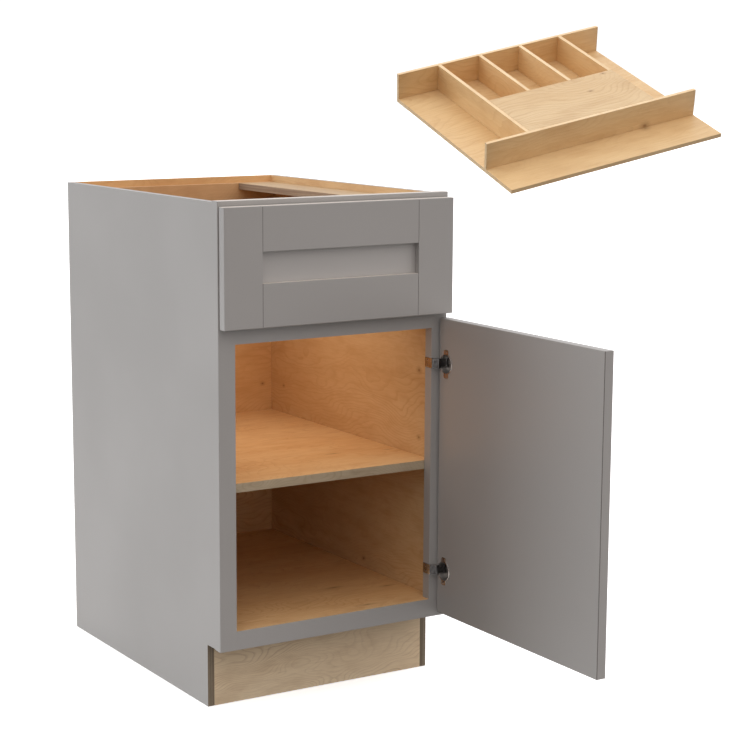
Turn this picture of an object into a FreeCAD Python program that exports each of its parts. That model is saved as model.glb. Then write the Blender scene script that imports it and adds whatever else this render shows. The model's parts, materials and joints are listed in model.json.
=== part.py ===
import FreeCAD, Part
import os
import re

import Sketcher

# Kitchen base cabinet with a face frame, one drawer over one door, open top.
# Origin on the floor at the middle of the rear face. +X right, +Y to the wall, +Z up.
# The rest pose has the drawer shut and the door open at door_open_angle.

doc = FreeCAD.newDocument("kitchen_base_cabinet")

# Driving dimensions, in millimetres and degrees
SIZES = {
    # Face frame and carcass
    "cabinet_wide": 457.2,
    "cabinet_deep": 609.6,
    "cabinet_tall": 876.3,
    "frame_thick": 19.05,
    "stile_wide": 31.75,
    "top_rail_tall": 38.1,
    "middle_rail_tall": 38.1,
    "bottom_rail_tall": 33,
    "drawer_opening_tall": 162.6,
    "toe_tall": 111,
    "toe_setback": 52,
    "side_inset": 2.4,
    "side_drop": 2.4,
    "side_thick": 12.7,
    "back_thick": 6.35,
    "floor_thick": 12.7,
    "toe_board_thick": 12.7,
    "shelf_thick": 15.9,
    "shelf_rise": 252,
    "shelf_setback": 1.5,
    "dado_deep": 6,
    "brace_thick": 12.7,
    "brace_drop": 12.7,
    "rear_rail_tall": 88.9,
    "stretcher_wide": 80,
    "batten_tall": 60,
    "edge_radius": 1.5,
    # Door and drawer front
    "front_thick": 18,
    "front_gap": 2.1,
    "front_side_reveal": 1.6,
    "front_reveal": 9,
    "front_stile_wide": 72,
    "front_panel_thick": 6.35,
    "front_panel_lap": 8,
    "drawer_front_tall": 203,
    "drawer_front_top_rail": 76,
    "drawer_front_bottom_rail": 74.5,
    "door_rail_tall": 75,
    # Hinges
    "door_open_angle": 90,
    "pivot_from_edge": 6.2,
    "pivot_from_face": 10.1,
    "hinge_from_end": 80,
    "cup_wide": 35,
    "cup_deep": 13.4,
    "cup_wall": 0.8,
    "cup_play": 0.2,
    "cup_bore_extra": 0.1,
    "flange_thick": 1,
    "flange_lip": 0.8,
    "wing_wide": 14,
    "wing_reach": 25.5,
    "wing_corner": 4,
    "cup_screw_reach": 21,
    "pin_wide": 2.5,
    "pin_play": 0.05,
    "knuckle_wide": 4.4,
    "knuckle_end_play": 0.6,
    "arm_half_tall": 9,
    "arm_tongue_half_tall": 5.5,
    "arm_plate_thick": 2,
    "arm_plate_setback": 17,
    "arm_bar_thick": 2.15,
    "arm_bar_rise": 0.3,
    "arm_bar_long": 13,
    "arm_tongue_start": 12.5,
    "arm_tongue_end": 2,
    "arm_lead": 0.9,
    "arm_heel": 17.5,
    "arm_heel_rise": 7.5,
    # Drawer box
    "drawer_long": 533.4,
    "drawer_tall": 127,
    "drawer_lift": 12,
    "drawer_wall": 12.7,
    "drawer_bottom_thick": 6.35,
    "drawer_bottom_rise": 12.7,
    "groove_deep": 6.35,
    "groove_play": 0.5,
    "bumper_wide": 8,
    "bumper_gap": 0.3,
    "bumper_from_end": 15,
    # Runners
    "runner_space": 12.7,
    "runner_long": 533.4,
    "runner_setback": 3,
    "runner_rise": 46,
    "runner_sheet": 1.2,
    "runner_core_tall": 26.6,
    "runner_web_gap": 1.85,
    "runner_outer_reach": 9.35,
    "runner_middle_reach": 10.65,
    "runner_travel": 520,
    "ball_wide": 3.2,
    "ball_play": 0.1,
    "ball_pitch": 32,
    "ball_row_in": 2.9,
    "cage_thick": 0.6,
    "cage_lip": 0.4,
    "cage_end_play": 5,
    # Wood screws
    "screw_wide": 3.2,
    "screw_head_wide": 6.2,
    "screw_play": 0.05,
    "runner_screw_long": 11,
    "runner_screw_inset": 40,
    "hinge_screw_long": 12,
    "hinge_screw_spread": 10,
    "front_screw_long": 25,
    "front_screw_head_tall": 2,
    "front_screw_inset": 16,
    "front_screw_from_stile": 35,
    # Drawer insert
    "insert_long": 366,
    "insert_side_play": 0.5,
    "insert_tall": 48,
    "insert_base_thick": 6.35,
    "insert_wall": 6,
    "insert_panel_thick": 4.2,
    "insert_margin_share": 0.207,
    "insert_cell_share": 0.555,
    "insert_first_share": 0.19,
    "insert_second_share": 0.39,
    "insert_third_share": 0.59,
    "insert_fourth_share": 0.79,
    "insert_front_space": 20,
    "insert_rest_gap": 0.3,
    # What a cut runs past the face that it starts from
    "cut_overrun": 1,
}

# Places and fits worked out from the driving dimensions
WORKED = {
    # Carcass
    "frame_front": "-cabinet_deep",
    "frame_back": "-cabinet_deep + frame_thick",
    "frame_half": "cabinet_wide / 2",
    "opening_half": "cabinet_wide / 2 - stile_wide",
    "side_outer": "cabinet_wide / 2 - side_inset",
    "side_inner": "side_outer - side_thick",
    "side_top": "cabinet_tall - side_drop",
    "toe_face": "-cabinet_deep + toe_setback",
    "floor_top": "toe_tall + bottom_rail_tall",
    "floor_under": "floor_top - floor_thick",
    "drawer_opening_top": "cabinet_tall - top_rail_tall",
    "drawer_opening_bottom": "drawer_opening_top - drawer_opening_tall",
    "door_opening_top": "drawer_opening_bottom - middle_rail_tall",
    "shelf_top": "floor_top + shelf_rise",
    "shelf_under": "shelf_top - shelf_thick",
    "dado_outer": "side_inner + dado_deep",
    "back_face": "-back_thick",
    "rear_rail_front": "back_face - brace_thick",
    "brace_top": "side_top - brace_drop",
    # Fronts
    "front_back": "frame_front - front_gap",
    "front_face": "front_back - front_thick",
    "front_half": "frame_half - front_side_reveal",
    "front_wide": "2 * front_half",
    "drawer_front_top": "cabinet_tall - front_reveal",
    "drawer_front_bottom": "drawer_front_top - drawer_front_tall",
    "door_top": "drawer_front_bottom - front_reveal",
    "door_bottom": "toe_tall + front_reveal",
    "panel_front": "front_back - front_panel_thick",
    "front_screw_side": "front_half - front_stile_wide - front_screw_from_stile",
    # Hinges, about the door's pivot
    "pivot_side": "front_half - pivot_from_edge",
    "pivot_front": "front_back - pivot_from_face",
    "door_hinge_edge": "pivot_from_edge",
    "door_free_edge": "pivot_from_edge - front_wide",
    "door_face": "pivot_from_face - front_thick",
    "door_panel_face": "pivot_from_face - front_panel_thick",
    "cup_radius": "cup_wide / 2",
    "cup_inner_radius": "cup_radius - cup_wall",
    "cup_bore_radius": "cup_radius + cup_play",
    "cup_bore_deep": "cup_deep + cup_bore_extra",
    "pin_radius": "pin_wide / 2",
    "knuckle_radius": "knuckle_wide / 2",
    "cup_centre": "-(cup_inner_radius - knuckle_radius - cup_play)",
    "flange_radius": "cup_radius + flange_lip",
    "pin_half": "sqrt(cup_radius ^ 2 - (pin_radius - cup_centre) ^ 2)",
    "knuckle_half": "sqrt(cup_inner_radius ^ 2 - (knuckle_radius - cup_centre) ^ 2)"
                    " - knuckle_end_play",
    "arm_stile_face": "opening_half - pivot_side",
    "arm_plate_face": "arm_stile_face - arm_plate_thick",
    "arm_plate_rear": "frame_front - pivot_front + arm_plate_setback",
    "arm_lead_front": "frame_front - pivot_front - arm_lead",
    "arm_bar_under": "arm_bar_rise - arm_bar_thick",
    "hinge_screw_place": "arm_plate_rear - arm_plate_setback / 2",
    "lower_hinge": "door_bottom + hinge_from_end",
    "upper_hinge": "door_top - hinge_from_end",
    # Drawer
    "drawer_half": "opening_half - runner_space",
    "drawer_inner_half": "drawer_half - drawer_wall",
    "drawer_box_bottom": "drawer_opening_bottom + drawer_lift",
    "drawer_box_top": "drawer_box_bottom + drawer_tall",
    "drawer_box_rear": "front_back + drawer_long",
    "drawer_floor_under": "drawer_box_bottom + drawer_bottom_rise",
    "drawer_floor_top": "drawer_floor_under + drawer_bottom_thick",
    "drawer_floor_reach": "groove_deep - groove_play",
    "front_screw_low": "drawer_front_bottom + drawer_front_bottom_rail - front_screw_inset",
    "front_screw_high": "drawer_front_top - drawer_front_top_rail + front_screw_inset",
    # Runners: distances inward from the wall that each is screwed to
    "runner_front": "frame_front + runner_setback",
    "runner_height": "drawer_box_bottom + runner_rise",
    "race_gap": "ball_wide + 2 * ball_play",
    "core_half": "runner_core_tall / 2",
    "middle_inner_half": "core_half + race_gap",
    "middle_half": "middle_inner_half + runner_sheet",
    "outer_inner_half": "middle_half + race_gap",
    "outer_half": "outer_inner_half + runner_sheet",
    "middle_web": "runner_sheet + runner_web_gap",
    "core_tip": "middle_web + runner_sheet + runner_web_gap",
    "outer_cage_web": "runner_sheet + (runner_web_gap - cage_thick) / 2",
    "inner_cage_web": "core_tip - (runner_web_gap + cage_thick) / 2",
    "outer_row": "(middle_half + outer_inner_half) / 2",
    "inner_row": "(core_half + middle_inner_half) / 2",
    "cage_long": "runner_long - runner_travel / 2 - 2 * cage_end_play",
    "cage_start": "(runner_long - cage_long) / 2",
    # Insert: places measured from its front left corner
    "insert_wide": "2 * (drawer_inner_half - insert_side_play)",
    "insert_wall_outer": "insert_wide * (1 - insert_margin_share)",
    "insert_wall_inner": "insert_wall_outer - insert_wall",
    "insert_cell_end": "insert_wall + (insert_wall_inner - insert_wall) * insert_cell_share",
    "insert_panel_under": "insert_tall - insert_panel_thick",
    "insert_front": "front_back + drawer_wall + insert_front_space",
    "insert_rest": "drawer_floor_top + insert_rest_gap",
}

sizes = doc.addObject("Spreadsheet::Sheet", "Sizes")
for row, (word, number) in enumerate(SIZES.items(), 1):
    sizes.set(f"A{row}", word)
    sizes.set(f"B{row}", str(number))
    sizes.setAlias(f"B{row}", word)
doc.recompute()


def lead_names(formula, own_sheet=""):
    """The formula with a sheet's name before each size that isn't on own_sheet."""
    def lead(match):
        word = match.group()
        home = "Sizes" if word in SIZES else "Worked" if word in WORKED else own_sheet
        return word if home == own_sheet else f"{home}.{word}"
    return re.sub(r"[a-z]\w*", lead, formula)


worked = doc.addObject("Spreadsheet::Sheet", "Worked")
for row, (word, formula) in enumerate(WORKED.items(), 1):
    worked.set(f"A{row}", word)
    worked.setAlias(f"B{row}", word)
    worked.set(f"B{row}", "=" + lead_names(formula, "Worked"))
doc.recompute()


# Edges and faces closer than this count as lying in one plane
NEAR = 1e-4

# Turns that point a primitive's own +Z along each direction
POINTING = {
    "+x": FreeCAD.Rotation(FreeCAD.Vector(0, 1, 0), 90),
    "-x": FreeCAD.Rotation(FreeCAD.Vector(0, 1, 0), -90),
    "+y": FreeCAD.Rotation(FreeCAD.Vector(1, 0, 0), -90),
    "-y": FreeCAD.Rotation(FreeCAD.Vector(1, 0, 0), 90),
    "+z": FreeCAD.Rotation(),
}
SIDES = {"left": -1, "right": 1}

# Heights of the two hinges, and places of each runner's screws along the drawer
HINGES = {"lower": "lower_hinge", "upper": "upper_hinge"}
RUNNER_SCREWS = ("runner_front + runner_screw_inset",
                 "runner_front + runner_long / 2",
                 "runner_front + runner_long - runner_screw_inset")

nodes = []


def value(formula):
    """What a formula comes to, in millimetres or degrees."""
    result = sizes.evalExpression(lead_names(formula))
    return float(getattr(result, "Value", result))


def bind(thing, **formulas):
    """Binds each property to its formula."""
    for name, formula in formulas.items():
        thing.setExpression(name, lead_names(formula))


def put(thing, x="0", y="0", z="0", pointing=None):
    """Binds where a thing lies, and turns its own +Z to the direction named."""
    if pointing:
        thing.Placement = FreeCAD.Placement(FreeCAD.Vector(), POINTING[pointing])
    for letter, formula in zip("xyz", (x, y, z)):
        thing.setExpression(f"Placement.Base.{letter}", lead_names(formula))


def on_door(thing, height="0"):
    """Seats a piece drawn for the shut door, about its pivot, on the door at its rest angle."""
    put(thing, "pivot_side", "pivot_front", height)
    bind(thing, **{"Placement.Rotation.Angle": "door_open_angle"})


def kept(thing):
    """Notes a sub-part that gets a file of its own, named by its Label."""
    nodes.append(thing)
    return thing


def new_body(label):
    return kept(doc.addObject("PartDesign::Body", label))


def mirrored(sign, low, high):
    """A low and a high formula across the middle plane from the right to the side of sign."""
    return (low, high) if sign > 0 else (f"-({high})", f"-({low})")


def signed(sign, formula):
    return formula if sign > 0 else f"-({formula})"


def block(body, name, x, y, z, cut=False):
    """A box added to or cut from the body, between a low and a high formula on each axis."""
    kind = "PartDesign::SubtractiveBox" if cut else "PartDesign::AdditiveBox"
    box = body.newObject(kind, name)
    spans = dict(zip(("Length", "Width", "Height"), (x, y, z)))
    bind(box, **{prop: f"{high} - ({low})" for prop, (low, high) in spans.items()})
    put(box, x[0], y[0], z[0])
    return box


def bore(body, name, start, pointing, radius, deep):
    """A round hole into the body from start, a place, along the direction named."""
    hole = body.newObject("PartDesign::SubtractiveCylinder", name)
    bind(hole, Radius=radius, Height=deep)
    put(hole, *start, pointing=pointing)
    return hole


def countersink(body, name, start, pointing, deep):
    """A seat for a flat screw head, as deep as the sheet that it goes through."""
    seat = body.newObject("PartDesign::SubtractiveCone", name)
    bind(seat, Radius1="screw_head_wide / 2 + screw_play", Radius2="screw_wide / 2 + screw_play",
         Height=deep)
    put(seat, *start, pointing=pointing)
    return seat


def outline(body, name, plane, points, shift=("0", "0", "0")):
    """A closed sketch of straight lines on one of the body's planes, shifted in that plane's axes.

    Each point is a pair of formulas, and each becomes two dimensions of the sketch."""
    sketch = body.newObject("Sketcher::SketchObject", name)
    origin_plane = next(f for f in body.Origin.OriginFeatures if f.Role == plane)
    sketch.AttachmentSupport = (origin_plane, "")
    sketch.MapMode = "FlatFace"
    for letter, formula in zip("xyz", shift):
        sketch.setExpression(f"AttachmentOffset.Base.{letter}", lead_names(formula))
    corners = [FreeCAD.Vector(value(across), value(up), 0) for across, up in points]
    for index, corner in enumerate(corners):
        sketch.addGeometry(Part.LineSegment(corner, corners[(index + 1) % len(corners)]), False)
    for index in range(len(corners)):
        following = (index + 1) % len(corners)
        sketch.addConstraint(Sketcher.Constraint("Coincident", index, 2, following, 1))
    for index, point in enumerate(points):
        for kind, formula in zip(("DistanceX", "DistanceY"), point):
            limit = sketch.addConstraint(
                Sketcher.Constraint(kind, -1, 1, index, 1, value(formula)))
            sketch.setExpression(f"Constraints[{limit}]", lead_names(formula))
    return sketch


def pad(body, name, plane, points, start, thick):
    """A pad of an outline, from start in the plane's +Z direction over thick."""
    sketch = outline(body, name + "Outline", plane, points, ("0", "0", start))
    feature = body.newObject("PartDesign::Pad", name)
    feature.Profile = sketch
    bind(feature, Length=thick)
    return feature


def ease(body, faces, others, radius="edge_radius"):
    """Rounds the edges where any of the faces meets any of the others.

    Each face is an axis letter and the formula for its place on that axis."""
    doc.recompute()
    base = body.Tip

    def lies_in(edge, axis, formula):
        box = edge.BoundBox
        place = value(formula)
        low = getattr(box, axis.upper() + "Min")
        high = getattr(box, axis.upper() + "Max")
        return abs(low - place) < NEAR and abs(high - place) < NEAR

    picked = [f"Edge{number}" for number, edge in enumerate(base.Shape.Edges, 1)
              if any(lies_in(edge, *face) for face in faces)
              and any(lies_in(edge, *other) for other in others)]
    rounding = body.newObject("PartDesign::Fillet", "EasedEdges")
    rounding.Base = (base, picked)
    bind(rounding, Radius=radius)


# Carcass

def side_panel(side, sign):
    """An upright panel with its toe notch, its rabbet for the back and its two dadoes."""
    panel = new_body(f"side_panel_{side}")
    profile = [("0", "0"), ("0", "side_top"), ("frame_back", "side_top"),
               ("frame_back", "toe_tall"), ("toe_face", "toe_tall"), ("toe_face", "0")]
    inner = mirrored(sign, "side_inner", "side_outer")
    pad(panel, "Panel", "YZ_Plane", profile, inner[0], "side_thick")
    housed = mirrored(sign, "side_inner - cut_overrun", "dado_outer")
    block(panel, "BackRabbet", housed, ("back_face", "cut_overrun"),
          ("-cut_overrun", "side_top + cut_overrun"), cut=True)
    block(panel, "FloorDado", housed, ("frame_back - cut_overrun", "0"),
          ("floor_under", "floor_top"), cut=True)
    block(panel, "ShelfDado", housed, ("frame_back + shelf_setback", "0"),
          ("shelf_under", "shelf_top"), cut=True)


def plain_board(label, x, y, z):
    board = new_body(label)
    block(board, "Board", x, y, z)
    return board


def carcass():
    for side, sign in SIDES.items():
        side_panel(side, sign)
    housed = ("-dado_outer", "dado_outer")
    between = ("-side_inner", "side_inner")
    plain_board("back_panel", housed, ("back_face", "0"), ("0", "side_top"))
    plain_board("cabinet_floor", housed, ("frame_back", "back_face"),
                ("floor_under", "floor_top"))
    plain_board("shelf", housed, ("frame_back + shelf_setback", "back_face"),
                ("shelf_under", "shelf_top"))
    plain_board("toe_board", between, ("toe_face", "toe_face + toe_board_thick"),
                ("0", "floor_under"))
    plain_board("rear_top_rail", between, ("rear_rail_front", "back_face"),
                ("brace_top - rear_rail_tall", "brace_top"))
    for side, sign in SIDES.items():
        plain_board(f"side_stretcher_{side}",
                    mirrored(sign, "side_inner - stretcher_wide", "side_inner"),
                    ("frame_back", "rear_rail_front"),
                    ("brace_top - brace_thick", "brace_top"))


# Face frame

def frame_stile(side, sign):
    stile = new_body(f"frame_stile_{side}")
    block(stile, "Board", mirrored(sign, "opening_half", "frame_half"),
          ("frame_front", "frame_back"), ("toe_tall", "cabinet_tall"))
    if side == "right":
        for name, height in HINGES.items():
            for row in (-1, 1):
                bore(stile, "PlateScrewHole",
                     ("opening_half - cut_overrun", "pivot_front + hinge_screw_place",
                      f"{height} + {row} * hinge_screw_spread / 2"), "+x",
                     "screw_wide / 2 + screw_play",
                     "hinge_screw_long + cut_overrun + screw_play")
    ease(stile, [("y", "frame_front")], [("x", signed(sign, "frame_half")), ("z", "cabinet_tall")])


def face_frame():
    for side, sign in SIDES.items():
        frame_stile(side, sign)
    rails = {"top": ("drawer_opening_top", "cabinet_tall"),
             "middle": ("door_opening_top", "drawer_opening_bottom"),
             "bottom": ("toe_tall", "floor_top")}
    for place, span in rails.items():
        rail = plain_board(f"frame_rail_{place}", ("-opening_half", "opening_half"),
                           ("frame_front", "frame_back"), span)
        if place == "top":
            ease(rail, [("y", "frame_front")], [("z", "cabinet_tall")])


# Door and drawer front: two stiles, two rails and a flat panel let into their back

def framed_front(label, x, y, z, rails, stile_names, seat):
    """The five pieces of a front, each placed by seat; returns them by name.

    x, y and z hold its low and high sides; y also gives the panel's face between them."""
    left, right = x
    face, panel_face, back = y
    bottom, top = z
    opening_x = (f"{left} + front_stile_wide", f"{right} - front_stile_wide")
    opening_z = (f"{bottom} + {rails[0]}", f"{top} - {rails[1]}")
    lap_x = (f"{opening_x[0]} - front_panel_lap", f"{opening_x[1]} + front_panel_lap")
    lap_z = (f"{opening_z[0]} - front_panel_lap", f"{opening_z[1]} + front_panel_lap")
    rabbet_y = (panel_face, f"{back} + cut_overrun")
    pieces = {}
    for name, across, edge in ((stile_names[0], (left, opening_x[0]), left),
                               (stile_names[1], (opening_x[1], right), right)):
        stile = new_body(f"{label}_{name}")
        block(stile, "Board", across, (face, back), z)
        block(stile, "PanelRabbet", lap_x, rabbet_y, lap_z, cut=True)
        pieces[name] = (stile, [("x", edge), ("z", bottom), ("z", top)])
    for name, upright, edge in (("rail_bottom", (bottom, opening_z[0]), bottom),
                                ("rail_top", (opening_z[1], top), top)):
        rail = new_body(f"{label}_{name}")
        block(rail, "Board", opening_x, (face, back), upright)
        block(rail, "PanelRabbet", lap_x, rabbet_y, lap_z, cut=True)
        pieces[name] = (rail, [("z", edge)])
    panel = new_body(f"{label}_panel")
    block(panel, "Board", lap_x, (panel_face, back), lap_z)
    for piece, edges in pieces.values():
        ease(piece, [("y", face)], edges)
        seat(piece)
    seat(panel)
    return {name: piece for name, (piece, edges) in pieces.items()}


def drawer_front():
    pieces = framed_front("drawer_front", ("-front_half", "front_half"),
                          ("front_face", "panel_front", "front_back"),
                          ("drawer_front_bottom", "drawer_front_top"),
                          ("drawer_front_bottom_rail", "drawer_front_top_rail"),
                          ("stile_left", "stile_right"), put)
    for rail, height in (("rail_bottom", "front_screw_low"), ("rail_top", "front_screw_high")):
        for sign in SIDES.values():
            bore(pieces[rail], "FrontScrewHole",
                 (signed(sign, "front_screw_side"), "front_back + cut_overrun", height),
                 "-y", "screw_wide / 2 + screw_play",
                 "front_screw_long - drawer_wall + cut_overrun + screw_play")


def door():
    pieces = framed_front("door", ("door_free_edge", "door_hinge_edge"),
                          ("door_face", "door_panel_face", "pivot_from_face"),
                          ("door_bottom", "door_top"), ("door_rail_tall", "door_rail_tall"),
                          ("stile_free", "stile_hinge"), on_door)
    stile = pieces["stile_hinge"]
    for height in HINGES.values():
        bore(stile, "CupBore", ("cup_centre", "pivot_from_face + cut_overrun", height), "-y",
             "cup_bore_radius", "cup_bore_deep + cut_overrun")
        for row in (-1, 1):
            bore(stile, "CupScrewHole",
                 ("cup_centre", "pivot_from_face + cut_overrun",
                  f"{height} + {row} * cup_screw_reach"), "-y",
                 "screw_wide / 2 + screw_play", "hinge_screw_long + cut_overrun")


# Screws

def screw(name, start, pointing, long, head_tall):
    """A flat-head wood screw whose head begins at start, pointing along the direction named."""
    head = doc.addObject("Part::Cone", name + "Head")
    bind(head, Radius1="screw_head_wide / 2", Radius2="screw_wide / 2", Height=head_tall)
    shank = doc.addObject("Part::Cylinder", name + "Shank")
    bind(shank, Radius="screw_wide / 2", Height=long)
    whole = doc.addObject("Part::MultiFuse", name)
    whole.Shapes = [head, shank]
    put(whole, *start, pointing=pointing)
    return whole


def group(label, members):
    """Alike pieces that share one node as separate solids."""
    together = kept(doc.addObject("Part::Compound", label))
    together.Links = members
    return together


# Hinges, drawn about the pivot for the shut door

def hinge_arm(name, height):
    """The fixed arm: a plate on the stile's inner edge, a goose neck, a tongue and a knuckle."""
    arm = new_body(f"hinge_arm_{name}")
    neck = [("arm_plate_face", "arm_plate_rear"), ("arm_stile_face", "arm_plate_rear"),
            ("arm_stile_face", "arm_lead_front"), ("-arm_bar_long", "arm_bar_rise"),
            ("-arm_tongue_start", "arm_bar_rise"), ("-arm_tongue_start", "arm_bar_under"),
            ("-arm_heel", "arm_bar_under"), ("arm_plate_face", "arm_heel_rise")]
    pad(arm, "GooseNeck", "XY_Plane", neck, "-arm_half_tall", "2 * arm_half_tall")
    bar_y = ("arm_bar_under", "arm_bar_rise")
    block(arm, "Tongue", ("-arm_tongue_start", "-arm_tongue_end"), bar_y,
          ("-arm_tongue_half_tall", "arm_tongue_half_tall"))
    block(arm, "KnuckleRoot", ("-arm_tongue_end", "0"), bar_y,
          ("-knuckle_half", "knuckle_half"))
    knuckle = arm.newObject("PartDesign::AdditiveCylinder", "Knuckle")
    bind(knuckle, Radius="knuckle_radius", Height="2 * knuckle_half")
    put(knuckle, z="-knuckle_half")
    bore(arm, "PinBore", ("0", "0", "-knuckle_half - cut_overrun"), "+z",
         "pin_radius + pin_play", "2 * (knuckle_half + cut_overrun)")
    for row in (-1, 1):
        countersink(arm, "PlateScrewSeat",
                    ("arm_plate_face", "hinge_screw_place", f"{row} * hinge_screw_spread / 2"),
                    "+x", "arm_plate_thick")
    put(arm, "pivot_side", "pivot_front", height)


def hinge_cup(name, height):
    """The cup let into the door, with its rim flange, its two wings and its pin holes."""
    cup = new_body(f"hinge_cup_{name}")
    rim = "pivot_from_face"
    section = [("0", f"{rim} - cup_deep"), ("cup_radius", f"{rim} - cup_deep"),
               ("cup_radius", rim), ("flange_radius", rim),
               ("flange_radius", f"{rim} + flange_thick"),
               ("cup_inner_radius", f"{rim} + flange_thick"),
               ("cup_inner_radius", f"{rim} - cup_deep + cup_wall"),
               ("0", f"{rim} - cup_deep + cup_wall")]
    sketch = outline(cup, "CupSection", "XY_Plane", section, ("cup_centre", "0", "0"))
    shell = cup.newObject("PartDesign::Revolution", "Cup")
    shell.Profile = sketch
    shell.ReferenceAxis = (sketch, ["V_Axis"])
    shell.Angle = 360
    wings_x = ("cup_centre - wing_wide / 2", "cup_centre + wing_wide / 2")
    block(cup, "Wings", wings_x, (rim, f"{rim} + flange_thick"), ("-wing_reach", "wing_reach"))
    ease(cup, [("z", "-wing_reach"), ("z", "wing_reach")], [("x", edge) for edge in wings_x],
         "wing_corner")
    bore(cup, "Mouth", ("cup_centre", f"{rim} + flange_thick + cut_overrun", "0"), "-y",
         "cup_inner_radius", "flange_thick + 2 * cut_overrun")
    bore(cup, "PinHole", ("0", "0", "-pin_half"), "+z", "pin_radius + pin_play", "2 * pin_half")
    for row in (-1, 1):
        countersink(cup, "CupScrewSeat",
                    ("cup_centre", f"{rim} + flange_thick", f"{row} * cup_screw_reach"), "-y",
                    "flange_thick")
    on_door(cup, height)


def hinges():
    for name, height in HINGES.items():
        hinge_arm(name, height)
        hinge_cup(name, height)
    pins = []
    cup_screws = []
    plate_screws = []
    for name, height in HINGES.items():
        pin = doc.addObject("Part::Cylinder", f"HingePin_{name}")
        bind(pin, Radius="pin_radius", Height="2 * pin_half")
        put(pin, z=f"{height} - pin_half")
        pins.append(pin)
        for row in (-1, 1):
            cup_screws.append(screw(
                f"CupScrew_{name}",
                ("cup_centre", "pivot_from_face + flange_thick",
                 f"{height} + {row} * cup_screw_reach"), "-y", "hinge_screw_long",
                "flange_thick"))
            plate_screws.append(screw(
                f"PlateScrew_{name}",
                ("opening_half - arm_plate_thick", "pivot_front + hinge_screw_place",
                 f"{height} + {row} * hinge_screw_spread / 2"), "+x", "hinge_screw_long",
                "arm_plate_thick"))
    on_door(group("hinge_pins", pins))
    on_door(group("hinge_cup_screws", cup_screws))
    put(group("hinge_plate_screws", plate_screws))


# Drawer box

def drawer_box():
    along = ("front_back", "drawer_box_rear")
    upright = ("drawer_box_bottom", "drawer_box_top")
    groove_z = ("drawer_floor_under", "drawer_floor_top")
    inside_y = ("front_back + drawer_wall", "drawer_box_rear - drawer_wall")
    for side, sign in SIDES.items():
        wall = new_body(f"drawer_side_{side}")
        block(wall, "Board", mirrored(sign, "drawer_inner_half", "drawer_half"), along, upright)
        block(wall, "Groove",
              mirrored(sign, "drawer_inner_half - cut_overrun", "drawer_inner_half + groove_deep"),
              (f"{inside_y[0]} - groove_deep", f"{inside_y[1]} + groove_deep"), groove_z, cut=True)
        for place in RUNNER_SCREWS:
            bore(wall, "RunnerScrewHole",
                 (signed(sign, "drawer_half + cut_overrun"), place, "runner_height"),
                 "-x" if sign > 0 else "+x", "screw_wide / 2 + screw_play",
                 "runner_screw_long + cut_overrun + screw_play")
    across = ("-drawer_inner_half", "drawer_inner_half")
    front = new_body("drawer_box_front")
    block(front, "Board", across, (along[0], inside_y[0]), upright)
    block(front, "Groove", across, (f"{inside_y[0]} - groove_deep", f"{inside_y[0]} + cut_overrun"),
          groove_z, cut=True)
    for height in ("front_screw_low", "front_screw_high"):
        for sign in SIDES.values():
            bore(front, "FrontScrewHole",
                 (signed(sign, "front_screw_side"), f"{inside_y[0]} + cut_overrun", height),
                 "-y", "screw_wide / 2 + screw_play", "drawer_wall + 2 * cut_overrun")
    back = new_body("drawer_box_back")
    block(back, "Board", across, (inside_y[1], along[1]), upright)
    block(back, "Groove", across, (f"{inside_y[1]} - cut_overrun", f"{inside_y[1]} + groove_deep"),
          groove_z, cut=True)
    reach = "drawer_inner_half + drawer_floor_reach"
    plain_board("drawer_bottom", (f"-({reach})", reach),
                (f"{inside_y[0]} - drawer_floor_reach", f"{inside_y[1]} + drawer_floor_reach"),
                groove_z)


def drawer_fastenings():
    """The screws that hold the drawer front and the runners, and the front's soft bumpers."""
    screws = []
    bumpers = []
    for sign in SIDES.values():
        for height in ("front_screw_low", "front_screw_high"):
            start = (signed(sign, "front_screw_side"),
                     "front_back + drawer_wall + front_screw_head_tall", height)
            head = doc.addObject("Part::Cylinder", "FrontScrewHead")
            bind(head, Radius="screw_head_wide / 2", Height="front_screw_head_tall")
            shank = doc.addObject("Part::Cylinder", "FrontScrewShank")
            bind(shank, Radius="screw_wide / 2", Height="front_screw_long + front_screw_head_tall")
            whole = doc.addObject("Part::MultiFuse", "FrontScrew")
            whole.Shapes = [head, shank]
            put(whole, *start, pointing="-y")
            screws.append(whole)
        for place in RUNNER_SCREWS:
            screws.append(screw("DrawerRunnerScrew",
                                (signed(sign, "drawer_half + runner_sheet"), place,
                                 "runner_height"), "-x" if sign > 0 else "+x",
                                "runner_screw_long", "runner_sheet"))
        for height in ("drawer_front_bottom + bumper_from_end",
                       "drawer_front_top - bumper_from_end"):
            bumper = doc.addObject("Part::Cylinder", "Bumper")
            bind(bumper, Radius="bumper_wide / 2", Height="front_gap - bumper_gap")
            put(bumper, signed(sign, "opening_half + stile_wide / 2"), "front_back", height,
                pointing="+y")
            bumpers.append(bumper)
    put(group("drawer_screws", screws))
    put(group("drawer_bumpers", bumpers))


# Runners, drawn from the face that the cabinet member is screwed to, at their own mid height

def channel(label, sign, web, tip, thick, half_tall, start, long):
    """A C section between the distances web and tip from the wall, padded along the drawer."""
    body = new_body(label)
    inner_web = f"{web} + {thick}" if value(tip) > value(web) else f"{web} - {thick}"
    lip = f"{half_tall} - {thick}"
    across = [(web, f"-({half_tall})"), (tip, f"-({half_tall})"), (tip, f"-({lip})"),
              (inner_web, f"-({lip})"), (inner_web, lip), (tip, lip), (tip, half_tall),
              (web, half_tall)]
    points = [(signed(-sign, distance), height) for distance, height in across]
    pad(body, "Channel", "XZ_Plane", points, f"-({start} + {long})", long)
    put(body, signed(sign, "opening_half"), "runner_front", "runner_height")
    return body


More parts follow.
